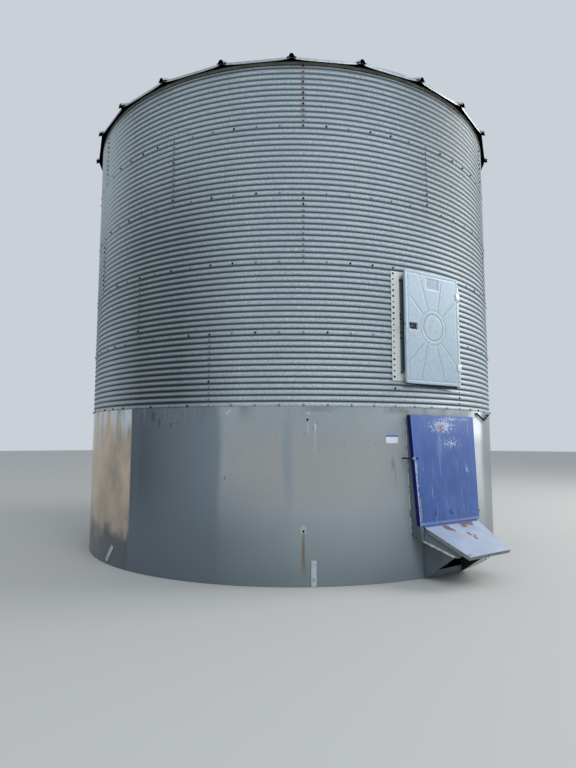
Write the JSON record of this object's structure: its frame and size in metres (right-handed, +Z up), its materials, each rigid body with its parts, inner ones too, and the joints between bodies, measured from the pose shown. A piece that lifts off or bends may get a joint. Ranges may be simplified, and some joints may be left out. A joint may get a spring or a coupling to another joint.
{
  "type": "grain silo",
  "caption": "Round flat-bottomed grain silo with a smooth steel skirt, corrugated rings, a ribbed cone roof, an upper door and a ground-level unloading housing.",
  "frame": {"origin": "on the silo's axis at ground level, on the underside of the floor", "axes": "+Z up; the unloading housing faces -Y; +X to the right of someone facing it"},
  "size_m": [6.0434, 6.5374, 7.3242],
  "materials": {
    "galvanised": "weathered galvanised steel",
    "grey_paint": "glossy grey paint",
    "roof_steel": "galvanised roof sheet",
    "blue_paint": "scuffed blue paint",
    "white_paint": "off-white paint with rust spots",
    "pressed_steel": "light galvanised pressed steel",
    "plate_white": "bare white plate",
    "dark_steel": "dark oiled steel"
  },
  "bodies": {
    "shell": {"boot_side_left": "grey_paint", "boot_side_right": "grey_paint", "door_hook": "dark_steel", "fill_cap": "roof_steel", "floor_plate": "grey_paint", "hood_side_left": "grey_paint", "hood_side_right": "grey_paint", "housing_door_ear_1": "dark_steel", "housing_door_ear_2": "dark_steel", "housing_side_left": "grey_paint", "housing_side_right": "grey_paint", "lid_hinge_rod": "dark_steel", "number_plate": "plate_white", "peak_collar": "roof_steel", "roof_hatch": "roof_steel", "roof_sheets_1": "roof_steel", "roof_sheets_2": "roof_steel", "roof_sheets_3": "roof_steel", "roof_sheets_4": "roof_steel", "roof_sheets_5": "roof_steel", "roof_sheets_6": "roof_steel", "skirt_back_sheets": "grey_paint", "skirt_beside_boot_left": "grey_paint", "skirt_beside_boot_right": "grey_paint", "skirt_left_of_doorway": "grey_paint", "skirt_left_sheet": "grey_paint", "skirt_over_doorway": "grey_paint", "skirt_right_of_doorway": "grey_paint", "skirt_right_sheets": "grey_paint", "skirt_sill": "grey_paint", "upper_door_frame": "galvanised", "upper_door_hinge_1": "galvanised", "upper_door_hinge_2": "galvanised", "upper_door_latch": "dark_steel", "upper_door_leaf": "pressed_steel", "wall_ring_1_a": "galvanised", "wall_ring_1_b": "galvanised", "wall_ring_2_a": "galvanised", "wall_ring_2_b": "galvanised", "wall_ring_3_a": "galvanised", "wall_ring_3_b": "galvanised", "wall_ring_4_a": "galvanised", "wall_ring_4_b": "galvanised", "wall_ring_5_a": "galvanised", "wall_ring_5_b": "galvanised"},
    "housing_door": {"housing_door": "blue_paint", "hasp_strap": "dark_steel"},
    "chute_lid": {"chute_lid": "white_paint"}
  },
  "joints": [
    {"name": "housing_door_hinge", "type": "hinge", "parent": "shell", "child": "housing_door", "pos_m": [0.507, -2.974, 0.572], "axis": [0.0342, 0.0642, 0.9973], "range_deg": [0, 130]},
    {"name": "chute_lid_hinge", "type": "hinge", "parent": "shell", "child": "chute_lid", "pos_m": [0, -3.0433, 0.5476], "axis": [-1, 0, 0], "range_deg": [0, 110]}
  ]
}
